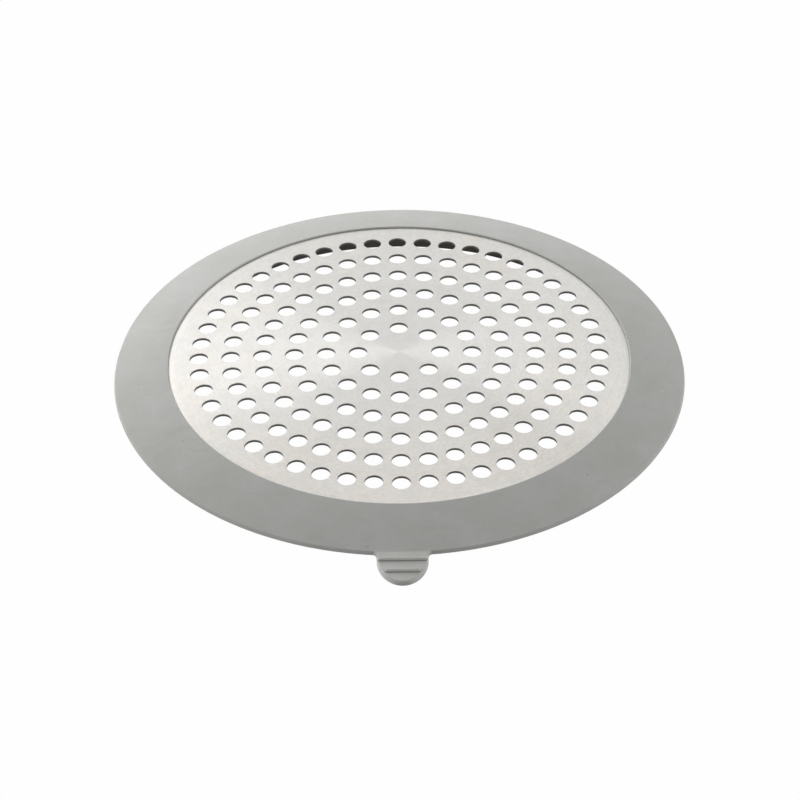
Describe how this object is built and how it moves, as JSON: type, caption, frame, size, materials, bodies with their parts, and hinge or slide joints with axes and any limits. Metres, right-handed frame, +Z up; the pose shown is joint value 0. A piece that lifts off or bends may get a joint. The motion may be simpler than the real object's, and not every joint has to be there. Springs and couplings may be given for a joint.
{
  "type": "drain cover",
  "caption": "Round shower drain cover: a shallow domed, perforated steel disc in a soft silicone rim that lies flat, with a ribbed pull tab that lifts at the front.",
  "frame": {"origin": "middle of the whole outline, tab included, on the plane of the rim's flat underside; the disc's axis is at y = +5.5 mm", "axes": "+Z up out of the disc's upper face, -Y towards the pull tab, +X to the right seen from the tab"},
  "size_m": [0.146, 0.157, 0.0065],
  "materials": {
    "brushed_steel": "circular brushed, satin",
    "silicone": "matte"
  },
  "bodies": {
    "cover": {"strainer_disc": "brushed_steel", "silicone_rim": "silicone"},
    "tab": {"pull_tab": "silicone"}
  },
  "joints": [
    {"name": "tab_flex", "type": "hinge", "parent": "cover", "child": "tab", "pos_m": [0, -0.06795, 0.00055], "axis": [-1, 0, 0], "range_deg": [0, 80], "stiffness_Nm_per_rad": 0.005}
  ]
}
